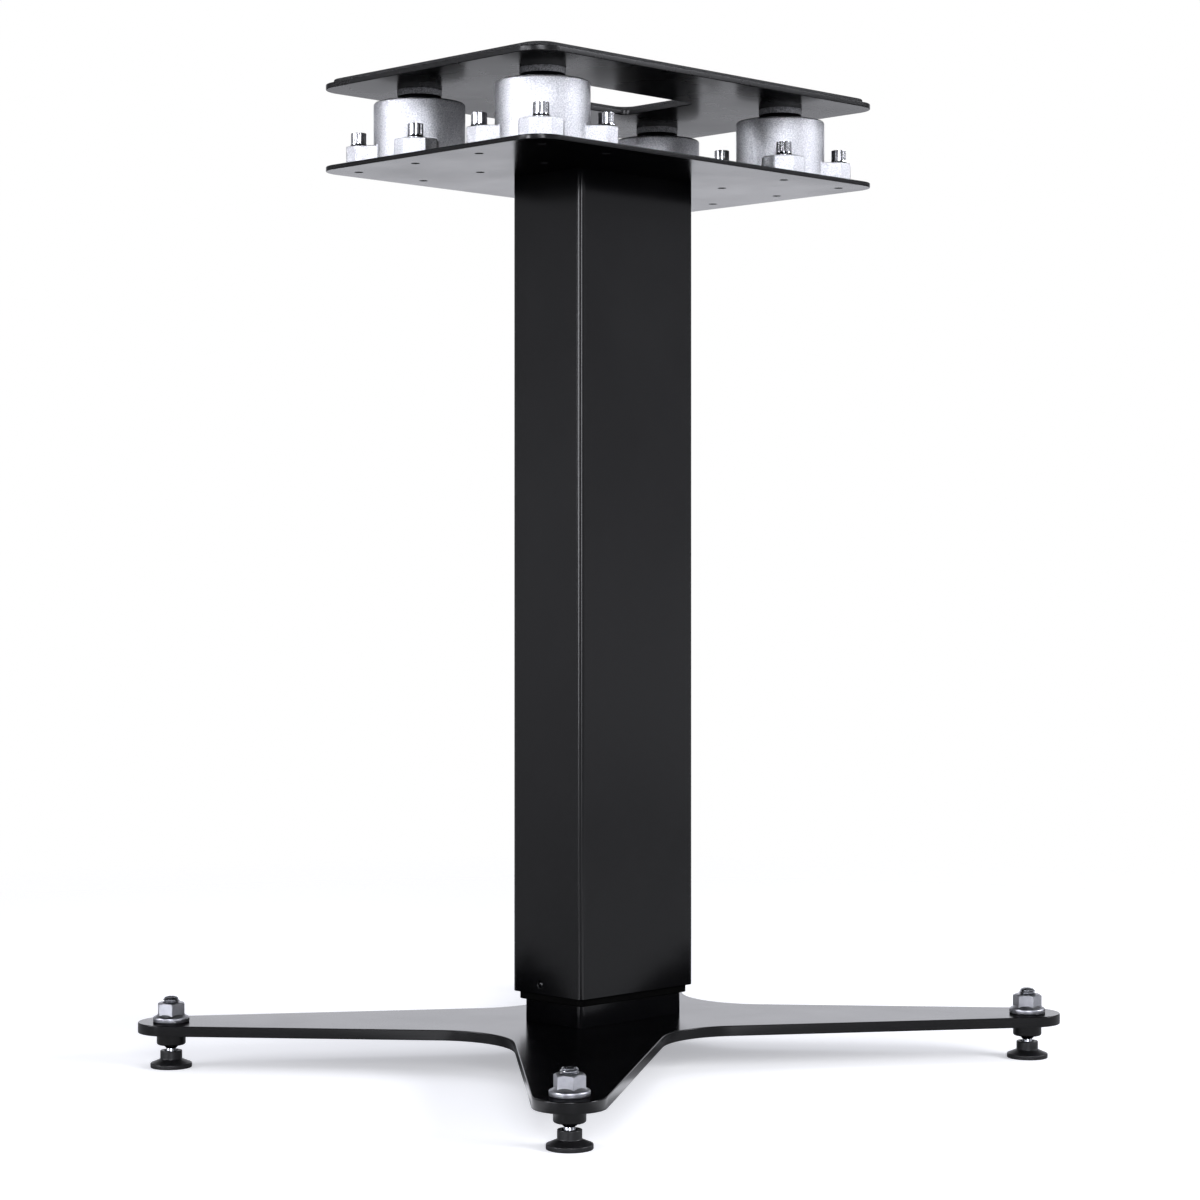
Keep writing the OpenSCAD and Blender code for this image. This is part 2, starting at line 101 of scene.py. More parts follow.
def add_node(tree, kind, values=None, links=None, **fields):
    """A new node: fields are its own settings, values fill its sockets and links feed them."""
    node = tree.nodes.new(kind)
    for field, value in fields.items():
        setattr(node, field, value)
    for socket, value in (values or {}).items():
        node.inputs[socket].default_value = value
    for socket, source in (links or {}).items():
        tree.links.new(source, node.inputs[socket])
    return node


def start_finish(name, **sockets):
    """A material with one Principled shader. Returns material, tree, shader and place."""
    material = bpy.data.materials.new(name)
    material.use_nodes = True
    tree = material.node_tree
    tree.nodes.clear()
    shader = add_node(tree, "ShaderNodeBsdfPrincipled")
    for socket, value in sockets.items():
        shader.inputs[socket.replace("_", " ")].default_value = value
    add_node(tree, "ShaderNodeOutputMaterial", links={"Surface": shader.outputs["BSDF"]})
    place = add_node(tree, "ShaderNodeTexCoord").outputs["Object"]
    return material, tree, shader, place


def grain(tree, place, size, detail, roughness=0.5):
    """Noise whose lumps are about size millimetres across, from 0 to 1."""
    values = {"Scale": 1 / (size * MM), "Detail": detail, "Roughness": roughness}
    return add_node(tree, "ShaderNodeTexNoise", values, {"Vector": place}).outputs["Fac"]


def between(tree, factor, low, high, start=NOISE_LOW, end=NOISE_HIGH):
    """A number from low to high as factor goes from start to end."""
    values = {"From Min": start, "From Max": end, "To Min": low, "To Max": high}
    return add_node(tree, "ShaderNodeMapRange", values, {"Value": factor}).outputs["Result"]


def shades(tree, factor, dark, light):
    """A colour from dark to light over the usual range of noise."""
    ramp = add_node(tree, "ShaderNodeValToRGB", links={"Fac": factor})
    ramp.color_ramp.elements[0].position = NOISE_LOW
    ramp.color_ramp.elements[0].color = linear(dark)
    ramp.color_ramp.elements[1].position = NOISE_HIGH
    ramp.color_ramp.elements[1].color = linear(light)
    return ramp.outputs["Color"]


def relief(tree, height, depth):
    """A normal for a surface whose height rises by depth millimetres as height goes from 0 to 1."""
    values = {"Strength": 1.0, "Distance": depth * MM}
    return add_node(tree, "ShaderNodeBump", values, {"Height": height}).outputs["Normal"]


print("helpers for finishes ready")

# %% [markdown]
# ## Black lacquer
# The plates, the tube and the sleeve are steel with a stoved black lacquer. Such a coat levels
# almost flat, so it mirrors softly, and it keeps a faint orange peel about 2 mm across. The
# pigment is carbon black: nearly all that the eye sees is the mirror, which is weak straight on
# and strong at a grazing view, as on the plates. Noise could carry the peel in the colour, but
# only height shows it truly. The column has the glossiest coat, the base and the isolator plate
# a satin one, and the platform the most matt, so its mirror fades away from the necks.

# %% Make the black lacquers
PEEL_SIZE = 2.2
PEEL_DEPTH = 0.0008
CLOUD_SIZE = 60


def lacquer(name, smooth, dull):
    """A black lacquer between two roughnesses."""
    material, tree, shader, place = start_finish(name, IOR=1.5)
    peel = grain(tree, place, PEEL_SIZE, detail=1.0)
    cloud = grain(tree, place, CLOUD_SIZE, detail=3.0)
    tree.links.new(shades(tree, cloud, "020203", "040405"), shader.inputs["Base Color"])
    tree.links.new(between(tree, cloud, smooth, dull), shader.inputs["Roughness"])
    tree.links.new(relief(tree, peel, PEEL_DEPTH), shader.inputs["Normal"])
    print("finish", name)
    return material


black_lacquer = lacquer("stoved_black_lacquer", 0.13, 0.17)
satin_lacquer = lacquer("satin_black_lacquer", 0.17, 0.21)
matt_lacquer = lacquer("matt_black_lacquer", 0.25, 0.29)

# %% [markdown]
# ## Cast aluminium
# The isolator housings are sand-cast aluminium, blasted clean. Blasting leaves pits about
# 0.3 mm across and the sand leaves lumps about 1 mm across. At the photograph's scale a
# millimetre is one and a half pixels, so the grain is drawn at 0.9 mm and the lumps at 3 mm.
# The metal is not polished, so its mirror is wide and the grain shows as a sparkle.

# %% Make the cast aluminium
PIT_SIZE = 0.9
LUMP_SIZE = 3.0
LUMP_SHARE = 0.45
SKIN_DEPTH = 0.30
cast_aluminium, tree, shader, place = start_finish("blasted_cast_aluminium", Metallic=1.0)
pits = grain(tree, place, PIT_SIZE, detail=3.0, roughness=0.7)
lumps = grain(tree, place, LUMP_SIZE, detail=2.0)
tree.links.new(shades(tree, pits, "BABBC2", "FDFDFF"), shader.inputs["Base Color"])
tree.links.new(between(tree, lumps, 0.42, 0.51), shader.inputs["Roughness"])
swell = add_node(tree, "ShaderNodeMath", {1: LUMP_SHARE}, {0: lumps}, operation="MULTIPLY")
skin = add_node(tree, "ShaderNodeMath", links={0: pits, 1: swell.outputs[0]}, operation="ADD")
tree.links.new(relief(tree, skin.outputs[0], SKIN_DEPTH), shader.inputs["Normal"])
print("finish", cast_aluminium.name)

# %% [markdown]
# ## Plated and bare steels
# Five steels are used. The housing screws are nickel-plated and bright. The lock nuts and the
# hidden screws are zinc-plated, with the cloudy bloom that zinc grows as it passivates. The
# studs are turned from bright bar. The springs are oil-hardened wire, and the blocks in the
# tube are plain rolled plate. They share one recipe: a metal, a cloud in its colour and fine
# marks in its height, with numbers for each.


# %% Make the steels
def steel(name, dark, light, smooth, dull, cloud_size, mark_size, mark_depth):
    """A steel between two colours and two roughnesses, its clouds and marks sized in mm."""
    material, tree, shader, place = start_finish(name, Metallic=1.0)
    bloom = grain(tree, place, cloud_size, detail=3.0)
    marks = grain(tree, place, mark_size, detail=2.0)
    tree.links.new(shades(tree, bloom, dark, light), shader.inputs["Base Color"])
    tree.links.new(between(tree, bloom, smooth, dull), shader.inputs["Roughness"])
    tree.links.new(relief(tree, marks, mark_depth), shader.inputs["Normal"])
    print("finish", name)
    return material


bright_steel = steel("nickel_plated_steel", "D6D7DB", "EEEFF2", 0.14, 0.22, 4, 1.0, 0.001)
zinc_steel = steel("zinc_plated_steel", "B4B5BB", "C4C5CA", 0.35, 0.40, 5, 0.9, 0.0015)
stud_steel = steel("turned_bright_steel", "B0B2B8", "C4C6CC", 0.18, 0.26, 3, 0.8, 0.008)
spring_steel = steel("oil_hardened_wire", "4C4E53", "6E7178", 0.28, 0.40, 3, 0.8, 0.020)
raw_steel = steel("rolled_steel_plate", "5E6064", "7C7E83", 0.36, 0.52, 14, 1.2, 0.030)

# %% [markdown]
# ## Rubbers and plastics
# The damping layer and the pad on top are rubber, matt and nearly black. The necks, covers and
# foot pads are moulded plastic with a fine spark texture, which an eroded mould gives. The
# caps under the platform are a grey filled plastic with pale specks. One recipe serves: a
# dielectric with a speckled colour, a roughness that varies and a texture in its height. The
# damping layer, the necks and the covers get a low index, which makes their mirror weak: they
# look blacker in the photograph than a usual plastic does.


# %% Make the rubbers and plastics
def moulded(name, dark, light, smooth, dull, speck_size, texture_size, texture_depth, ior=1.5):
    """A rubber or plastic between two colours, its specks and its texture sized in mm."""
    material, tree, shader, place = start_finish(name, IOR=ior)
    specks = grain(tree, place, speck_size, detail=2.0)
    texture = grain(tree, place, texture_size, detail=2.0)
    tree.links.new(shades(tree, specks, dark, light), shader.inputs["Base Color"])
    tree.links.new(between(tree, texture, smooth, dull), shader.inputs["Roughness"])
    tree.links.new(relief(tree, texture, texture_depth), shader.inputs["Normal"])
    print("finish", name)
    return material


LOW_INDEX = 1.1
damping_rubber = moulded("damping_rubber", "020202", "030303", 0.42, 0.54, 4, 1.2, 0.02,
                         ior=LOW_INDEX)
pad_rubber = moulded("cut_sheet_rubber", "0C0C0D", "161618", 0.55, 0.70, 2, 1.0, 0.04)
black_plastic = moulded("glass_filled_nylon", "020203", "040405", 0.40, 0.50, 3, 0.9, 0.02,
                        ior=LOW_INDEX)
grey_cap = moulded("grey_filled_plastic", "3C3D40", "88898E", 0.46, 0.58, 1.0, 0.9, 0.05)
foot_plastic = moulded("moulded_foot_nylon", "0D0D0E", "161618", 0.34, 0.44, 3, 0.9, 0.02)

# %% [markdown]
# ## Modelling: helpers
# Operators act on whatever is selected, and loading leaves every solid selected, so each step
# starts by picking its own piece. A solid from the frame is a soup of loose triangles. Its copy
# is merged first, and flat faces are joined, so that a bevel can run along clean edges.


# %% Pick, shape and finish pieces
MERGE_WITHIN = 0.001 * MM
FLAT_WITHIN = 0.4
SHARP_FROM = 30
SMOOTH_UP_TO = 50


def pick(*pieces):
    """Selects these pieces alone and makes the first one active."""
    bpy.ops.object.select_all(action="DESELECT")
    for piece in pieces:
        piece.select_set(True)
    bpy.context.view_layer.objects.active = pieces[0]


def apply_modifier(piece, kind, **settings):
    """Adds a modifier with these settings and applies it at once."""
    pick(piece)
    modifier = piece.modifiers.new(kind.lower(), kind)
    for setting, value in settings.items():
        setattr(modifier, setting, value)
    bpy.ops.object.modifier_apply(modifier=modifier.name)


def copied_from_frame(node, name):
    """A merged copy of one solid of the frame, with its flat faces joined."""
    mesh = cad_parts[node].data.copy()
    mesh.name = name
    mesh.materials.clear()
    piece = bpy.data.objects.new(name, mesh)
    bpy.context.scene.collection.objects.link(piece)
    pick(piece)
    bpy.ops.mesh.customdata_custom_splitnormals_clear()
    bpy.ops.object.mode_set(mode="EDIT")
    bpy.ops.mesh.select_all(action="SELECT")
    bpy.ops.mesh.remove_doubles(threshold=MERGE_WITHIN)
    bpy.ops.mesh.dissolve_limited(angle_limit=math.radians(FLAT_WITHIN))
    bpy.ops.object.mode_set(mode="OBJECT")
    return piece


def smooth(piece, angle):
    """Smooth shading across edges flatter than angle degrees, led by the large faces."""
    pick(piece)
    bpy.ops.object.shade_smooth_by_angle(angle=math.radians(angle))
    apply_modifier(piece, "WEIGHTED_NORMAL", keep_sharp=True)


def ease_edges(piece, width, segments):
    """Rounds every sharp edge by width millimetres."""
    apply_modifier(piece, "BEVEL", width=width * MM, segments=segments, limit_method="ANGLE",
                   angle_limit=math.radians(SHARP_FROM), use_clamp_overlap=False)
    smooth(piece, SMOOTH_UP_TO)


def dress(piece, body, material, slot, *nodes):
    """Paints a piece, lets it ride on a body and stand for these solids."""
    piece.data.materials.clear()
    piece.data.materials.append(material)
    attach(piece, body)
    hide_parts(*nodes)
    print(piece.name, len(piece.data.polygons), "faces on", body)


def dress_copy(node, name, width, body, material, slot, segments=3):
    """The usual way: copy a solid, ease its edges and dress it."""
    piece = copied_from_frame(node, name)
    ease_edges(piece, width, segments)
    dress(piece, body, material, slot, node)


print("helpers for modelling ready")


# %% Start new pieces and repeat them
SEAM_WITHIN = 0.002 * MM


def add_cylinder(radius, bottom, top, vertices, place=(0, 0)):
    """An upright cylinder or prism in mm, with its object's origin at the world's."""
    bpy.ops.object.select_all(action="DESELECT")
    middle = (place[0] * MM, place[1] * MM, (bottom + top) / 2 * MM)
    bpy.ops.mesh.primitive_cylinder_add(radius=radius * MM, depth=(top - bottom) * MM,
                                        vertices=vertices, location=middle)
    bpy.ops.object.transform_apply(location=True, rotation=True, scale=True)
    return bpy.context.object


def turned(name, outline, steps=48):
    """A closed body from (radius, height) pairs in mm, spun round the Z axis by a Screw modifier
    without climb, which orders its faces the same way in every run."""
    mesh = bpy.data.meshes.new(name)
    points = [(radius * MM, 0, height * MM) for radius, height in outline]
    mesh.from_pydata(points, [(i, i + 1) for i in range(len(points) - 1)], [])
    piece = bpy.data.objects.new(name, mesh)
    bpy.context.scene.collection.objects.link(piece)
    apply_modifier(piece, "SCREW", angle=2 * math.pi, steps=steps, render_steps=steps,
                   use_merge_vertices=False, use_normal_flip=True)
    bpy.ops.object.mode_set(mode="EDIT")
    bpy.ops.mesh.select_all(action="SELECT")
    bpy.ops.mesh.remove_doubles(threshold=SEAM_WITHIN)
    bpy.ops.mesh.normals_make_consistent(inside=False)
    bpy.ops.object.mode_set(mode="OBJECT")
    return piece


def press_in(piece, share, wanted):
    """Scales the points for which wanted(angle in degrees, height in mm) is true towards the axis."""
    bpy.ops.object.mode_set(mode="EDIT")
    bpy.ops.mesh.select_mode(type="VERT")
    bpy.ops.mesh.select_all(action="DESELECT")
    bpy.ops.object.mode_set(mode="OBJECT")
    for point in piece.data.vertices:
        angle = math.degrees(math.atan2(point.co.y, point.co.x)) % 360
        point.select = wanted(angle, point.co.z / MM)
    bpy.ops.object.mode_set(mode="EDIT")
    bpy.ops.transform.resize(value=(share, share, 1), center_override=(0, 0, 0))
    bpy.ops.object.mode_set(mode="OBJECT")


def copies_of(master, name, places, turns):
    """One object made of copies of master: its points turned by degrees and moved to places in mm."""
    made = []
    for step, spot in enumerate(places):
        mesh = master.data.copy()
        turn = Matrix.Rotation(math.radians(turns[step % len(turns)]), 4, "Z")
        mesh.transform(Matrix.Translation(Vector(spot) * MM) @ turn)
        copy = bpy.data.objects.new(name, mesh)
        bpy.context.scene.collection.objects.link(copy)
        made.append(copy)
    pick(*made)
    if len(made) > 1:
        bpy.ops.object.join()
    made[0].name = name
    made[0].data.name = name
    return made[0]


print("helpers for new pieces ready")

# %% [markdown]
# ## The lacquered plates
# Real plates are laser-cut, tumbled so that their edges lose the burr, and coated. The coat
# pulls back from a sharp edge, so every edge catches a thin line of light. The outlines come
# from the frame, and a bevel of about half a millimetre gives that line.

# %% Dress the plates
dress_copy("base_plate", "lacquered_base", 0.6, "root", satin_lacquer, "black_lacquer")
dress_copy("isolator_plate", "lacquered_isolator_plate", 0.5, "root", satin_lacquer, "black_lacquer")
dress_copy("platform_plate", "lacquered_platform", 0.5, "platform", matt_lacquer, "black_lacquer")

# %% [markdown]
# ## The column's three layers
# The tube stands on the base, the rubber damping layer is wrapped round it, and the sleeve is
# pushed over both. Each layer stops a little higher than the one inside it, which makes the
# steps at the foot. The corners are already round, so only the cut ends are eased. A small pin
# sits low in the sleeve's front, and its head is a dome, which a wide bevel makes.

# %% Dress the column
dress_copy("column_tube", "lacquered_tube", 0.4, "root", black_lacquer, "black_lacquer")
dress_copy("column_damping_layer", "damping_wrap", 0.6, "root", damping_rubber, "damping_rubber")
dress_copy("column_sleeve", "lacquered_sleeve", 0.4, "root", black_lacquer, "black_lacquer")
dress_copy("sleeve_pin", "sleeve_pin_head", 1.7, "root", black_lacquer, "black_steel", segments=6)

# %% [markdown]
# ## The pad on the platform
# A soft sheet lies on the platform so that a cabinet neither slips nor gets scratched. Its
# edge is cut, and it sinks a little at the cut, so the bevel is wider than on steel.

# %% Dress the pad
dress_copy("platform_pad", "platform_pad_sheet", 0.8, "platform", pad_rubber, "pad_rubber")

# %% [markdown]
# ## Isolator housings and their moving parts
# A casting has no sharp edges, because the pattern has to leave the sand: outer corners are
# round and inner ones have fillets. The bevel does both at once when it runs along convex and
# concave edges. The necks, covers and caps are moulded, and get a smaller edge radius.

# %% Dress the isolators
CORNERS = {"front_left": (-1, -1), "front_right": (1, -1), "rear_right": (1, 1), "rear_left": (-1, 1)}
for corner in CORNERS:
    dress_copy("isolator_housing_" + corner, "cast_housing_" + corner, 1.0, "root",
               cast_aluminium, "cast_aluminium")
    dress_copy("isolator_cover_" + corner, "housing_cover_" + corner, 0.3, "root",
               black_plastic, "black_plastic")
    dress_copy("isolator_plunger_" + corner, "neck_plunger_" + corner, 0.4, "platform",
               black_plastic, "black_plastic")
    dress_copy("isolator_cap_" + corner, "load_cap_" + corner, 0.4, "platform", grey_cap, "grey_cap")

# %% [markdown]
# ## Fluted flange screws
# Each housing is held by four plated screws. The head is tall, with eight narrow flutes for a
# tool that grips from the side, and it flares down into a flange. One screw is modelled: its
# outline is spun round the axis, and then the points of each flute are pressed in towards it,
# first over the flute's whole width and then in its middle. A Boolean cut would make the same
# flutes with far messier faces. A thread would be hidden in the housing's lug, so the shank
# stays plain.

# %% Model one fluted screw
HEAD_RADIUS = 5.4
HEAD_HEIGHT = 10.2
FLANGE_RADIUS = 6.5
SHANK_RADIUS = 2.75
SHANK_LENGTH = 15.7
TIP_BEVEL = 0.5
FLUTES = 8
FLUTE_FOOT = 1.3
FLUTE_STEPS = ((5.5, 0.945), (2, 0.955))
RIM_POINTS = 96


def off_flute(angle):
    """How many degrees this angle is from the middle of the nearest flute."""
    pitch = 360 / FLUTES
    return abs((angle + pitch / 2) % pitch - pitch / 2)


shank_outline = [(0, -SHANK_LENGTH), (SHANK_RADIUS - TIP_BEVEL, -SHANK_LENGTH),
                 (SHANK_RADIUS, TIP_BEVEL - SHANK_LENGTH), (SHANK_RADIUS, 0)]
flange_outline = [(FLANGE_RADIUS - 0.2, 0), (FLANGE_RADIUS, 0.2), (FLANGE_RADIUS, 0.6),
                  (FLANGE_RADIUS - 0.25, 0.85), (6.05, 1.15), (5.75, 1.7), (5.52, 2.4)]
head_outline = [(HEAD_RADIUS, 3.2), (HEAD_RADIUS, HEAD_HEIGHT - 0.5),
                (HEAD_RADIUS - 0.15, HEAD_HEIGHT - 0.15), (HEAD_RADIUS - 0.5, HEAD_HEIGHT),
                (0, HEAD_HEIGHT)]
screw = turned("fluted_screw", shank_outline + flange_outline + head_outline, RIM_POINTS)
for reach, share in FLUTE_STEPS:
    press_in(screw, share, lambda angle, height: off_flute(angle) < reach and height > FLUTE_FOOT)
smooth(screw, 30)
print("one screw has", len(screw.data.polygons), "faces")

# %% Set four screws in each housing
ISOLATOR_X = 62.4
ISOLATOR_Y = 120.0
LUG_OFFSET = 30.1
LUG_TOP = 647.7
SCREW_TURNS = (12, 31, 47, 22)
for corner, (side, end) in CORNERS.items():
    spots = [(side * ISOLATOR_X + x * LUG_OFFSET, end * ISOLATOR_Y + y * LUG_OFFSET, LUG_TOP)
             for x in (-1, 1) for y in (-1, 1)]
    screws = copies_of(screw, "fluted_screws_" + corner, spots, SCREW_TURNS)
    dress(screws, "root", bright_steel, "bright_steel", "isolator_screws_" + corner)
bpy.data.objects.remove(screw)

# %% [markdown]
# ## Springs
# Inside each housing a compression spring carries the platform. Its wire makes six and a half
# turns, with a closed turn at each end so that it stands flat. A curve with a round section is
# the natural way to draw wire, and it is turned into a mesh at the end. It is wound at one
# length and does not flatten as the platform sinks.

# %% Wind the springs
WIRE = 3.0
COIL_RADIUS = 20.5
COILS = 6.5
SPRING_FOOT = 638.0
SPRING_HEAD = 672.1
SPRING_GAP = 0.3
END_TURN_RISE = 3.7
POINTS_PER_TURN = 32


def wire_rise(turn):
    """Height of the wire's middle in mm after so many turns."""
    open_rise = SPRING_HEAD - SPRING_FOOT - WIRE - 2 * SPRING_GAP - 2 * END_TURN_RISE
    if turn < 1:
        return turn * END_TURN_RISE
    if turn < COILS - 1:
        return END_TURN_RISE + (turn - 1) * open_rise / (COILS - 2)
    return END_TURN_RISE + open_rise + (turn - COILS + 1) * END_TURN_RISE


def wound_spring(name, x, y):
    """One spring about the axis through x and y, as a mesh."""
    curve = bpy.data.curves.new(name, "CURVE")
    curve.dimensions = "3D"
    curve.bevel_depth = WIRE / 2 * MM
    curve.bevel_resolution = 3
    curve.use_fill_caps = True
    line = curve.splines.new("POLY")
    count = round(COILS * POINTS_PER_TURN)
    line.points.add(count)
    for step, point in enumerate(line.points):
        turn = step / POINTS_PER_TURN
        angle = 2 * math.pi * turn
        height = SPRING_FOOT + SPRING_GAP + WIRE / 2 + wire_rise(turn)
        point.co = ((x + COIL_RADIUS * math.cos(angle)) * MM,
                    (y + COIL_RADIUS * math.sin(angle)) * MM, height * MM, 1)
    spring = bpy.data.objects.new(name, curve)
    bpy.context.scene.collection.objects.link(spring)
    pick(spring)
    bpy.ops.object.convert(target="MESH")
    return bpy.context.object


for corner, (side, end) in CORNERS.items():
    x = side * ISOLATOR_X
    y = end * ISOLATOR_Y
    spring = wound_spring("wound_spring_" + corner, x, y)
    smooth(spring, 60)
    dress(spring, "root", spring_steel, "spring_steel", "isolator_spring_" + corner)
    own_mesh(spring)

# %% [markdown]
# ## Levelling studs
# A stud is turned from bar: a ball at its foot that clips into the pad, a thin neck, a taper
# and a threaded shank. The plain shape is one outline spun round the axis. A hexagon socket in
# its top takes a key, and a Boolean cuts it. The thread is a ridge of its own: its
# cross-section goes round the axis with a Screw modifier that climbs 1.75 mm per turn, the
# pitch of this size. A bump could fake it, but not its outline. The taper's faces take the
# black lacquer as painted shade under the bushing, and the neck below it is bright.

# %% Turn the plain stud
STUD_RADIUS = 6.0
THREAD_ROOT = 4.95
THREAD_PITCH = 1.75
THREAD_TURNS = 18
THREAD_START = 17.1
STUD_TOP = 49.85
TIP_CHAMFER = 2.0
BALL_RADIUS = 5.5
BALL_HEIGHT = 7.6
BALL_DEGREES = range(0, 134, 12)
# Between these heights in mm the stud's faces are painted black, as painted shade under the bushing.
PAINTED_SHADE_LOW = 13.5
PAINTED_SHADE_HIGH = 17.0
SOCKET_FLATS = 6.0
SOCKET_DEPTH = 3.0
ball_outline = [(BALL_RADIUS * math.sin(math.radians(a)),
                 BALL_HEIGHT - BALL_RADIUS * math.cos(math.radians(a))) for a in BALL_DEGREES]
ball_outline[0] = (0, BALL_HEIGHT - BALL_RADIUS)
neck_outline = [(3.8, 11.4), (3.8, 11.8), (3.35, 13.5)]
taper_outline = [(3.7, 13.75), (5.9, 15.85), (STUD_RADIUS, 16.0), (STUD_RADIUS, 16.4)]
thread_outline = [(THREAD_ROOT, 17.2), (THREAD_ROOT, 48.9),
                  (STUD_RADIUS - TIP_CHAMFER, STUD_TOP), (0, STUD_TOP)]
stud = turned("plain_stud", ball_outline + neck_outline + taper_outline + thread_outline)
cutter = add_cylinder(SOCKET_FLATS / math.sqrt(3), STUD_TOP - SOCKET_DEPTH, STUD_TOP + 1, 6)
apply_modifier(stud, "BOOLEAN", operation="DIFFERENCE", solver="EXACT", object=cutter)
bpy.data.objects.remove(cutter)
smooth(stud, 40)
print("stud", [round(side / MM, 2) for side in stud.dimensions])

# %% Wind the thread round it
RIDGE_ROOT = 4.85
RIDGE_CREST = 5.94
ROOT_HALF = 0.70
CREST_HALF = 0.11
ROUND_THE_PLANE = (0, 2, 3, 1)
THREAD_STEPS = 32
bpy.ops.object.select_all(action="DESELECT")
bpy.ops.mesh.primitive_plane_add(size=1, location=(0, 0, 0))
ridge = bpy.context.object
section = [(RIDGE_ROOT, -ROOT_HALF), (RIDGE_ROOT, ROOT_HALF),
           (RIDGE_CREST, CREST_HALF), (RIDGE_CREST, -CREST_HALF)]
for index, (radius, height) in zip(ROUND_THE_PLANE, section):
    ridge.data.vertices[index].co = (radius * MM, 0, (THREAD_START + height) * MM)
bpy.ops.object.mode_set(mode="EDIT")
bpy.ops.mesh.select_all(action="SELECT")
bpy.ops.mesh.delete(type="ONLY_FACE")
bpy.ops.object.mode_set(mode="OBJECT")
apply_modifier(ridge, "SCREW", angle=2 * math.pi, screw_offset=THREAD_PITCH * MM,
               iterations=THREAD_TURNS, steps=THREAD_STEPS, render_steps=THREAD_STEPS,
               use_merge_vertices=False)
bpy.ops.object.mode_set(mode="EDIT")
bpy.ops.mesh.select_all(action="DESELECT")
bpy.ops.mesh.select_mode(type="EDGE")
bpy.ops.mesh.select_non_manifold(extend=False, use_wire=False, use_multi_face=False,
                                 use_non_contiguous=False, use_verts=False)
bpy.ops.mesh.edge_face_add()
bpy.ops.mesh.select_all(action="SELECT")
bpy.ops.mesh.normals_make_consistent(inside=False)
bpy.ops.mesh.select_mode(type="VERT")
bpy.ops.object.mode_set(mode="OBJECT")
for point in ridge.data.vertices:
    radius = math.hypot(point.co.x, point.co.y)
    allowed = (STUD_RADIUS - max(0, point.co.z / MM - (STUD_TOP - TIP_CHAMFER))) * MM
    if radius > allowed:
        point.co.x *= allowed / radius
        point.co.y *= allowed / radius
smooth(ridge, 25)
pick(stud, ridge)
bpy.ops.object.join()
print("thread top", round(max(point.co.z for point in stud.data.vertices) / MM, 2))

# %% Stand a stud on each foot
FOOT_X = 202.0
FOOT_Y = 231.0
TURN_FROM_STUD_TO_STUD = 73
for step, (corner, (side, end)) in enumerate(CORNERS.items()):
    threaded = copies_of(stud, "threaded_stud_" + corner, [(side * FOOT_X, end * FOOT_Y, 0)],
                         [step * TURN_FROM_STUD_TO_STUD])
    dress(threaded, "levelling_stud_" + corner, stud_steel, "stud_steel", "foot_stud_" + corner)
    # The taper's faces take the black lacquer: painted shade under the bushing, not a real coat.
    threaded.data.materials.append(black_lacquer)
    for face in threaded.data.polygons:
        if PAINTED_SHADE_LOW < face.center.z / MM < PAINTED_SHADE_HIGH:
            face.material_index = 1
bpy.data.objects.remove(stud)

# %% [markdown]
# ## Feet: pads, bushings and lock nuts
# The pads are moulded, and the bushings are welded under the arms and coated with them. Their
# outlines are right in the frame, so each copy only gets the edge radius of its making.

# %% Dress the feet
for corner in CORNERS:
    dress_copy("foot_pad_" + corner, "swivel_foot_" + corner, 0.5, "swivel_pad_" + corner,
               foot_plastic, "foot_plastic")
    dress_copy("foot_bushing_" + corner, "welded_bushing_" + corner, 0.3, "root",
               black_lacquer, "black_steel")

# %% [markdown]
# ## Flange nuts
# A flange nut is forged: a rolled rim, a skirt that rises to the hexagon, and flats that end in
# arcs at the top, where a cone cuts the corners off. The rim and skirt are one outline spun
# round. The hexagon is cut by a cone with a Boolean, as on the lathe, and bored. Each nut
# stands at the turn that the photograph shows, but for the rear left one, which it hides.

# %% Forge one flange nut
NUT_FOOT = 32.4
NUT_HEIGHT = 13.35
NUT_CORNER = 10.392
BORE_RADIUS = 6.06
RIM_ROUND = 1.4
RIM_RADIUS = 12.8
RIM_HEIGHT = 3.8
SKIRT_TOP = 5.8
HEXAGON_FOOT = 3
CONE_RADIUS = 11
CONE_START = 11.95
FACE_RADIUS = 8.5
NUT_STEPS = 64
arc_outline = [(RIM_RADIUS - RIM_ROUND + RIM_ROUND * math.cos(math.radians(a)),
                RIM_HEIGHT - RIM_ROUND + RIM_ROUND * math.sin(math.radians(a)))
               for a in range(0, 91, 15)]
rim_outline = [(BORE_RADIUS, 0), (RIM_RADIUS - 0.5, 0), (RIM_RADIUS - 0.15, 0.15), (RIM_RADIUS, 0.5)]
skirt_outline = [(11.2, RIM_HEIGHT), (8.9, 5.6), (8.4, SKIRT_TOP), (BORE_RADIUS, SKIRT_TOP),
                 (BORE_RADIUS, 0)]
nut = turned("nut_rim", rim_outline + arc_outline + skirt_outline, NUT_STEPS)
smooth(nut, 35)
hexagon = add_cylinder(NUT_CORNER, HEXAGON_FOOT, NUT_HEIGHT, 6)
ease_edges(hexagon, 0.3, segments=3)
cone_outline = [(0, HEXAGON_FOOT - 0.5), (CONE_RADIUS, HEXAGON_FOOT - 0.5),
                (CONE_RADIUS, CONE_START), (FACE_RADIUS, NUT_HEIGHT), (0, NUT_HEIGHT)]
cone = turned("nut_cone", cone_outline, NUT_STEPS)
bore = add_cylinder(BORE_RADIUS, HEXAGON_FOOT - 1, NUT_HEIGHT + 1, 48)
apply_modifier(hexagon, "BOOLEAN", operation="INTERSECT", solver="EXACT", object=cone)
apply_modifier(hexagon, "BOOLEAN", operation="DIFFERENCE", solver="EXACT", object=bore)
smooth(hexagon, 25)
pick(nut, hexagon)
bpy.ops.object.join()
bpy.data.objects.remove(cone)
bpy.data.objects.remove(bore)
print("nut", [round(side / MM, 2) for side in nut.dimensions])

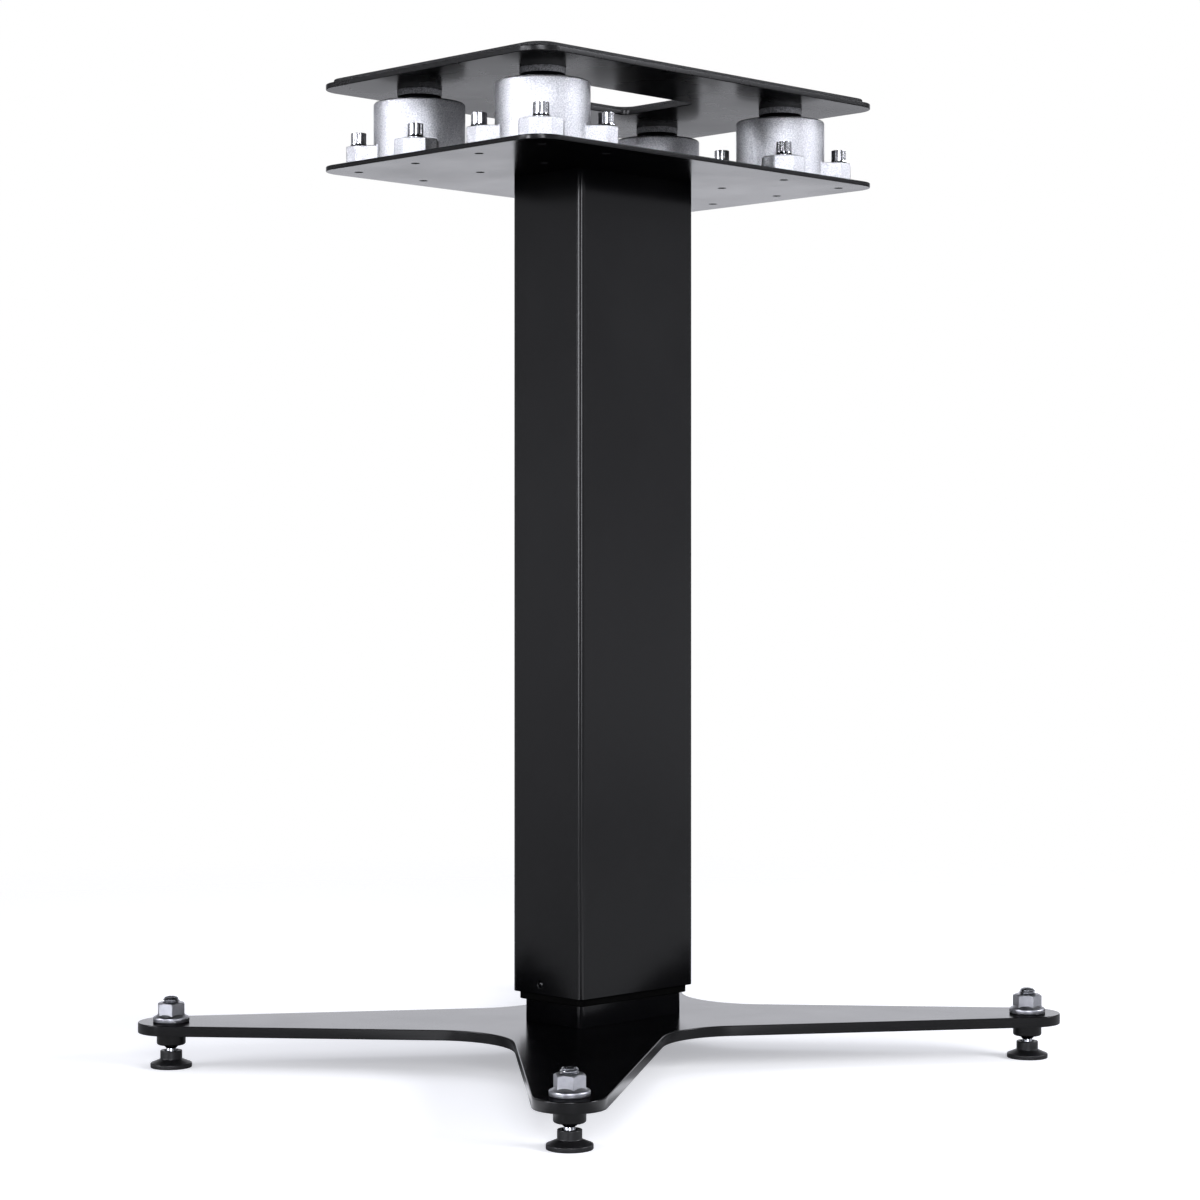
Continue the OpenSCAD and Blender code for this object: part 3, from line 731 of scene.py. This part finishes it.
# %% Screw a nut on each stud
NUT_TURNS = {"front_left": 27.3, "front_right": 29.5, "rear_right": 31.3, "rear_left": 24}
FLAT_TO_CORNER = 30
for corner, (side, end) in CORNERS.items():
    flanged = copies_of(nut, "flange_nut_" + corner, [(side * FOOT_X, end * FOOT_Y, NUT_FOOT)],
                        [NUT_TURNS[corner] + FLAT_TO_CORNER])
    dress(flanged, "lock_nut_" + corner, zinc_steel, "zinc_steel", "foot_lock_nut_" + corner)
bpy.data.objects.remove(nut)

# %% [markdown]
# ## Screws with a hexagon socket
# The column is held by four screws from above and four from below, and the platform by one
# screw in each neck. Their heads have a hexagon socket. A Boolean modifier with a six-sided
# cutter makes it, which is quicker than splitting the head's top by hand, and just as clean.


# %% Cut the sockets
COLUMN_SCREW_X = 15
COLUMN_SCREW_Y = 34
HEAD_SCREW_FACE = 638.4
BASE_SCREW_FACE = 25.0
CAP_SCREW_FACE = 691.5


def socketed(node, name, centres, flats, face, depth, body):
    """A copy of a screw node with a hexagon socket at each centre, sunk by depth from height
    face. A head that faces down has a negative depth."""
    piece = copied_from_frame(node, name)
    outside = 1 if depth > 0 else -1
    low, high = sorted((face - depth, face + outside))
    for centre in centres:
        cutter = add_cylinder(flats / math.sqrt(3), low, high, 6, centre)
        apply_modifier(piece, "BOOLEAN", operation="DIFFERENCE", solver="EXACT", object=cutter)
        bpy.data.objects.remove(cutter)
    ease_edges(piece, 0.25, segments=2)
    dress(piece, body, zinc_steel, "zinc_steel", node)


block_spots = [(x, y) for x in (-COLUMN_SCREW_X, COLUMN_SCREW_X)
               for y in (-COLUMN_SCREW_Y, COLUMN_SCREW_Y)]
cap_spots = [(side * ISOLATOR_X, end * ISOLATOR_Y) for side, end in CORNERS.values()]
socketed("column_head_screws", "socket_head_screws", block_spots, 5, HEAD_SCREW_FACE, 3, "root")
socketed("base_screws", "countersunk_base_screws", block_spots, 5, BASE_SCREW_FACE, -3, "root")
socketed("platform_screws", "countersunk_cap_screws", cap_spots, 3, CAP_SCREW_FACE, 2, "platform")

# %% [markdown]
# ## Solids that stay as they are
# The two blocks inside the tube are plain plate with holes, and nothing but a section view
# ever shows them. They keep their solids and get the rolled plate's finish.

# %% Paint the blocks
for node in ("column_foot_block", "column_head_block"):
    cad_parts[node].material_slots[0].material = raw_steel
print("solids still shown:", sorted(n for n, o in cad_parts.items() if not o.hide_render))

# %% [markdown]
# ## Floor
# The stand is photographed on a white sweep. The floor here is a white disc that keeps the
# soft shadows and fades into the white world before its rim shows. A little light is added for
# the camera alone, so that the floor reads as white. Mirrors see it grey, as they do in a
# studio where the sweep is lit from its far end. Two wedges of it glow for mirrors alone, and
# draw the thin lines on the tube's corner at the column's foot.


# %% Aim at a place in the studio
def calculate(tree, operation, first, second):
    """The sum or product of two numbers that come from other nodes."""
    node = add_node(tree, "ShaderNodeMath", links={0: first, 1: second}, operation=operation)
    return node.outputs[0]


def towards(azimuth, elevation):
    """A direction azimuth degrees to the right of the camera, seen from the stand."""
    heading = math.radians(CAMERA_HEADING + azimuth)
    level = math.cos(math.radians(elevation))
    return math.sin(heading) * level, -math.cos(heading) * level, math.sin(math.radians(elevation))


def nearness(tree, direction, aim):
    """The cosine of the angle between a direction that comes from a node and this aim."""
    node = add_node(tree, "ShaderNodeVectorMath", {1: aim}, {0: direction}, operation="DOT_PRODUCT")
    return node.outputs["Value"]


print("the camera looks from", [round(c, 2) for c in towards(0, 0)])

# %% Lay the floor
FLOOR_RADIUS = 2.6
FADE_START = 0.5
FADE_END = 1.5
FLOOR_COLOUR = "EEEFF2"
MIRRORED_COLOUR = "A8A9AC"
GLOW_COLOUR = "F8F9FF"
CAMERA_LIFT = 0.41
POOLS = (-33, 31)
POOL_POWER = 1.0
POOL_EDGE = 0.985
POOL_CORE = 0.997
bpy.ops.object.select_all(action="DESELECT")
bpy.ops.mesh.primitive_circle_add(vertices=96, radius=FLOOR_RADIUS, fill_type="NGON",
                                  location=(0, 0, 0))
floor = bpy.context.object
floor.name = "studio_floor"
sweep = bpy.data.materials.new("white_sweep")
sweep.use_nodes = True
tree = sweep.node_tree
tree.nodes.clear()
place = add_node(tree, "ShaderNodeTexCoord").outputs["Object"]
away = add_node(tree, "ShaderNodeVectorMath", links={0: place}, operation="LENGTH")
fade = between(tree, away.outputs["Value"], 0, 1, FADE_START, FADE_END)
rays = add_node(tree, "ShaderNodeLightPath").outputs
camera_glow = add_node(tree, "ShaderNodeMath", {1: CAMERA_LIFT}, {0: rays["Is Camera Ray"]},
                       operation="MULTIPLY")
lift = camera_glow.outputs[0]
shade = add_node(tree, "ShaderNodeMix", {6: linear(FLOOR_COLOUR), 7: linear(MIRRORED_COLOUR)},
                 {0: rays["Is Glossy Ray"]}, data_type="RGBA").outputs[2]
heading = add_node(tree, "ShaderNodeVectorMath", links={0: place}, operation="NORMALIZE")
for azimuth in POOLS:
    near = nearness(tree, heading.outputs["Vector"], towards(azimuth, 0))
    pool = between(tree, near, 0, POOL_POWER, POOL_EDGE, POOL_CORE)
    pool = calculate(tree, "MULTIPLY", pool, rays["Is Glossy Ray"])
    lift = calculate(tree, "ADD", lift, pool)
matt = add_node(tree, "ShaderNodeBsdfDiffuse", links={"Color": shade})
glow = add_node(tree, "ShaderNodeEmission", {"Color": linear(GLOW_COLOUR)}, {"Strength": lift})
lit = add_node(tree, "ShaderNodeAddShader", links={0: matt.outputs[0], 1: glow.outputs[0]})
clear = add_node(tree, "ShaderNodeBsdfTransparent")
mix = add_node(tree, "ShaderNodeMixShader", links={"Fac": fade, 1: lit.outputs[0], 2: clear.outputs[0]})
add_node(tree, "ShaderNodeOutputMaterial", links={"Surface": mix.outputs[0]})
floor.data.materials.append(sweep)
print("floor laid with pools of light at", POOLS)

# %% [markdown]
# ## Light
# A black lacquered object is lit by what it mirrors, so the studio that it mirrors is drawn in
# the world: white behind the stand, half as bright at the sides, darker still in front, and
# nearly black at the ceiling and low down. Each ramp holds two levels and where they are
# reached, given by the cosine of the angle from its middle or by the sine of the elevation,
# and for a second mirror by the count of mirrors.
#
# Six softboxes are added. The three high ones draw the bright patches on each rounded edge,
# and the three low ones draw the thin lines on the column's corner. Dark flags let the
# column's faces fall off towards their ends, and give the castings a shaded side. A mirror in
# a mirror sees a dim room, which keeps the column's foot and the plates' middle as black as
# they are in the photograph. The camera sees plain white.
#
# Real lamps light what is matt, above all the floor, and stay out of the mirrors. The
# strongest stands at the front right, and draws the shadows to the left and behind.

# %% Light the world
BEHIND = (0.55, 1.12, 0.80, 0.94)
IN_FRONT = (1.0, 0.70, 0.3, 0.8)
HORIZON = (1.12, 1.10, -0.12, 0.12)
CEILING = (1.0, 0.12, 0.20, 0.70)
LOW_DOWN = (0.1, 1.0, -0.205, -0.175)
SECOND_MIRROR = (1.0, 0.03, 1.0, 2.0)
MATT_SHARE = 0.45
MIRRORED_WHITE = "F4F5FC"
PLAIN_WHITE = "FFFFFF"
EDGE_SHARE = 1.2
CORE_SHARE = 0.8
SOFTBOXES = [(2, 24, 11, 13), (-68, 22, 11, 12), (86, 26, 11, 13),
             (-45, 4, 7, 11), (11, 4, 7, 6.5), (-80, 4, 3, 8)]
FLAGS = [(-90, -14, 3, 15, 0.5), (-90, 15, 4, 17, 0.5), (90, 15, 4, 17, 0.55),
         (90, -12, 4, 9, 0.35), (130, 10, 12, 30, 0.4), (-130, 10, 12, 30, 0.4)]
world = bpy.data.worlds.new("white_studio")
bpy.context.scene.world = world
world.use_nodes = True
world.cycles.sampling_method = "NONE"
tree = world.node_tree
tree.nodes.clear()
rays = add_node(tree, "ShaderNodeLightPath").outputs
seen = add_node(tree, "ShaderNodeMath", operation="MAXIMUM",
                links={0: rays["Is Camera Ray"], 1: rays["Is Transmission Ray"]}).outputs[0]
direction = add_node(tree, "ShaderNodeTexCoord").outputs["Generated"]
upward = add_node(tree, "ShaderNodeSeparateXYZ", links={0: direction}).outputs["Z"]

room = between(tree, nearness(tree, direction, towards(180, 0)), *BEHIND)
for ramp in (HORIZON, CEILING, LOW_DOWN):
    room = calculate(tree, "MULTIPLY", room, between(tree, upward, *ramp))
front = nearness(tree, direction, towards(0, 0))
room = calculate(tree, "MULTIPLY", room, between(tree, front, *IN_FRONT))
for azimuth, elevation, core, edge, dim in FLAGS:
    near = nearness(tree, direction, towards(azimuth, elevation))
    shade = between(tree, near, 1.0, dim, math.cos(math.radians(edge)), math.cos(math.radians(core)))
    room = calculate(tree, "MULTIPLY", room, shade)
for azimuth, elevation, radius, power in SOFTBOXES:
    edge = math.cos(math.radians(radius * EDGE_SHARE))
    core = math.cos(math.radians(radius * CORE_SHARE))
    near = nearness(tree, direction, towards(azimuth, elevation))
    room = calculate(tree, "ADD", room, between(tree, near, 0, power, edge, core))
glossy = calculate(tree, "MULTIPLY", room, between(tree, rays["Glossy Depth"], *SECOND_MIRROR))
mirrored = add_node(tree, "ShaderNodeMix", {2: MATT_SHARE}, {0: rays["Is Glossy Ray"], 3: glossy})
level = add_node(tree, "ShaderNodeMix", {3: 1.0}, {0: seen, 2: mirrored.outputs[0]}).outputs[0]
tint = add_node(tree, "ShaderNodeMix", {6: linear(MIRRORED_WHITE), 7: linear(PLAIN_WHITE)},
                {0: seen}, data_type="RGBA").outputs[2]
sky = add_node(tree, "ShaderNodeBackground", links={"Color": tint, "Strength": level})
add_node(tree, "ShaderNodeOutputWorld", links={"Surface": sky.outputs[0]})
print("world lit with", len(SOFTBOXES), "softboxes and", len(FLAGS), "flags")


# %% Hang the lamps
def area_lamp(name, azimuth, distance, height, width, tall, power, target=(0, 0, 0.35)):
    """A lamp that faces the target, azimuth degrees to the right of the camera."""
    across, along, _ = towards(azimuth, 0)
    place = Vector((across * distance, along * distance, height))
    data = bpy.data.lights.new(name, "AREA")
    data.shape = "RECTANGLE"
    data.size = width
    data.size_y = tall
    data.energy = power
    lamp = bpy.data.objects.new(name, data)
    bpy.context.scene.collection.objects.link(lamp)
    lamp.location = place
    lamp.rotation_euler = (Vector(target) - place).to_track_quat("-Z", "Y").to_euler()
    lamp.visible_glossy = False
    print("lamp", name, [round(c, 2) for c in place])


area_lamp("floor_softbox", 64, 2.4, 0.80, 1.1, 0.8, 56, target=(0, 0, 0))
area_lamp("front_softbox", 2, 2.6, 0.95, 1.0, 0.9, 30)
area_lamp("left_softbox", -68, 2.6, 0.95, 1.0, 0.9, 16)
area_lamp("overhead_softbox", 180, 0.3, 2.6, 2.2, 2.2, 9)
